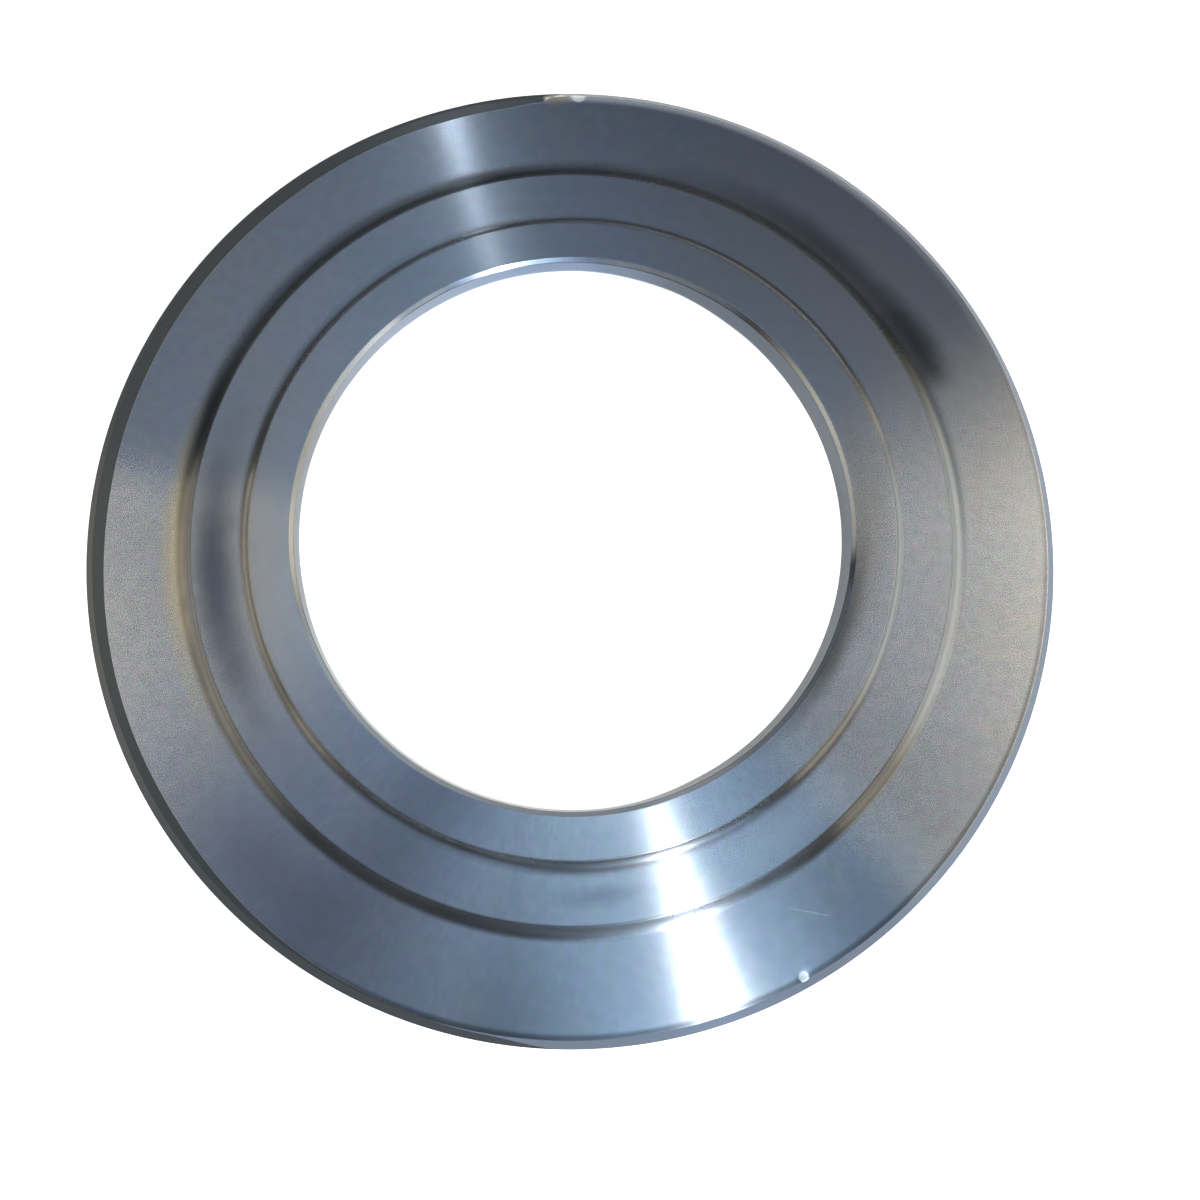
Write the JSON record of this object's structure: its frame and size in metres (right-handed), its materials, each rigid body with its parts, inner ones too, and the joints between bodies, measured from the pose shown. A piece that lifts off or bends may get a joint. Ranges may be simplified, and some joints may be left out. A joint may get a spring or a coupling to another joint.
{
  "type": "pipe flange",
  "caption": "Turned steel pipe flange ring with a plain rim, a face stepped up twice towards a large chamfered bore, and no bolt holes.",
  "frame": {"origin": "centre of the bore on the flat back face, which the flange lies on", "axes": "+Z along the bore axis, from the back face to the stepped face; the ring is symmetric about it, so +X and +Y are any two square directions in the back face"},
  "size_m": [0.25, 0.25, 0.011],
  "materials": {
    "turned_steel": "lathe-turned, fine concentric tool marks"
  },
  "bodies": {
    "root": {"flange_ring": "turned_steel"}
  },
  "joints": []
}
